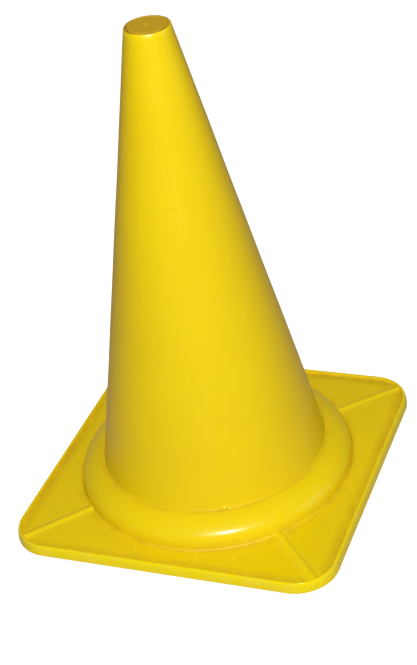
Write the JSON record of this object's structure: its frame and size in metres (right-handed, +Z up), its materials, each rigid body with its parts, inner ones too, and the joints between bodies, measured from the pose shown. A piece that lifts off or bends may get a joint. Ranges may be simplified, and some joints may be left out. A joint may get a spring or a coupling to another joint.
{
  "type": "sports marker cone",
  "caption": "Free-standing marker cone: tall tapered sleeve in a square foot with a raised ring, for marking out sports areas.",
  "frame": {"origin": "on the ground under the cone's axis, at the middle of the foot's underside", "axes": "+Z up along the cone's axis; X and Y along the sides of the square foot"},
  "size_m": [0.203, 0.203, 0.3],
  "materials": {
    "base_plastic": "glossy moulded yellow",
    "sleeve_plastic": "glossy moulded yellow",
    "lock_ring_plastic": "plain moulded yellow",
    "plug_plastic": "satin moulded yellow"
  },
  "bodies": {
    "root": {"base_plate": "base_plastic", "cone_sleeve": "sleeve_plastic", "lock_ring": "lock_ring_plastic", "top_plug": "plug_plastic"}
  },
  "joints": []
}
